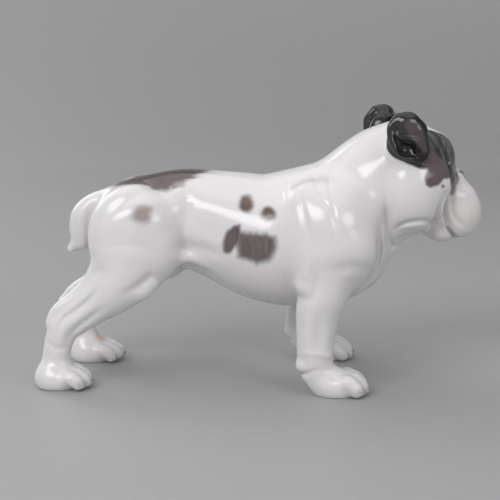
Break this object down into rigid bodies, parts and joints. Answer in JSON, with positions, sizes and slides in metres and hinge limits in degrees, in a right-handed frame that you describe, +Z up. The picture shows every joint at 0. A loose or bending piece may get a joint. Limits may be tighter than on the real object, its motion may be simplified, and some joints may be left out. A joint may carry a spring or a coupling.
{
  "type": "ceramic dog figurine",
  "caption": "Glazed porcelain figurine of a standing bulldog with rose ears, hanging flews and a short cranked tail, cast hollow in sections joined with slip.",
  "frame": {"origin": "on the ground, at the centre of the figurine's outline seen from above", "axes": "+X towards the nose, +Y to the dog's left, +Z up"},
  "size_m": [0.1966, 0.081, 0.1207],
  "materials": {
    "glazed_porcelain": "clear gloss glaze over white porcelain, with airbrushed grey-brown patches and a near-black ear",
    "slip_joint": "fired slip under the same clear gloss glaze"
  },
  "bodies": {
    "root": {"trunk": "glazed_porcelain", "head": "glazed_porcelain", "tail": "glazed_porcelain", "right_ear": "glazed_porcelain", "left_ear": "glazed_porcelain", "front_right_leg": "glazed_porcelain", "front_left_leg": "glazed_porcelain", "hind_right_leg": "glazed_porcelain", "hind_left_leg": "glazed_porcelain", "neck_slip": "slip_joint", "tail_slip": "slip_joint", "right_ear_slip": "slip_joint", "left_ear_slip": "slip_joint", "front_right_slip": "slip_joint", "front_left_slip": "slip_joint", "hind_right_slip": "slip_joint", "hind_left_slip": "slip_joint"}
  },
  "joints": []
}
